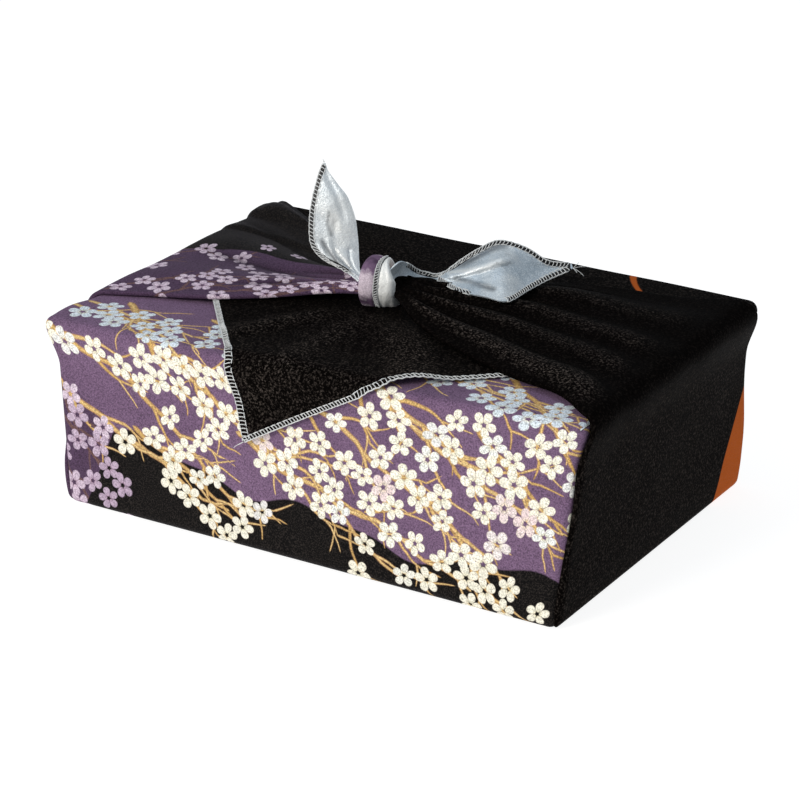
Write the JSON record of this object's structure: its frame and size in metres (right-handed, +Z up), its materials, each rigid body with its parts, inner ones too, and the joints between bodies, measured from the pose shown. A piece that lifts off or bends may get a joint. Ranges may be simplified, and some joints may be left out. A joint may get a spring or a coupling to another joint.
{
  "type": "furoshiki wrap",
  "caption": "Square crepe furoshiki folded round a flat box shape, its ears knotted on top with two free tails and a flap hanging over the front.",
  "frame": {"origin": "centre of the flat underside, on the surface that the parcel stands on", "axes": "+X to the right along the parcel's length, +Y to the back, +Z up; the flap hangs over the front, at -Y"},
  "size_m": [0.3058, 0.2101, 0.1708],
  "materials": {
    "crepe_cloth": "polyester crepe, printed with blossom sprays on violet and black on its face, plain silver-grey satin on its back",
    "binding_thread": "silver-grey overlock thread bound tightly over the raw edge"
  },
  "bodies": {
    "root": {"cloth": "crepe_cloth", "edging_flap": "binding_thread", "edging_standing_tail": "binding_thread", "edging_lying_tail": "binding_thread"}
  },
  "joints": []
}
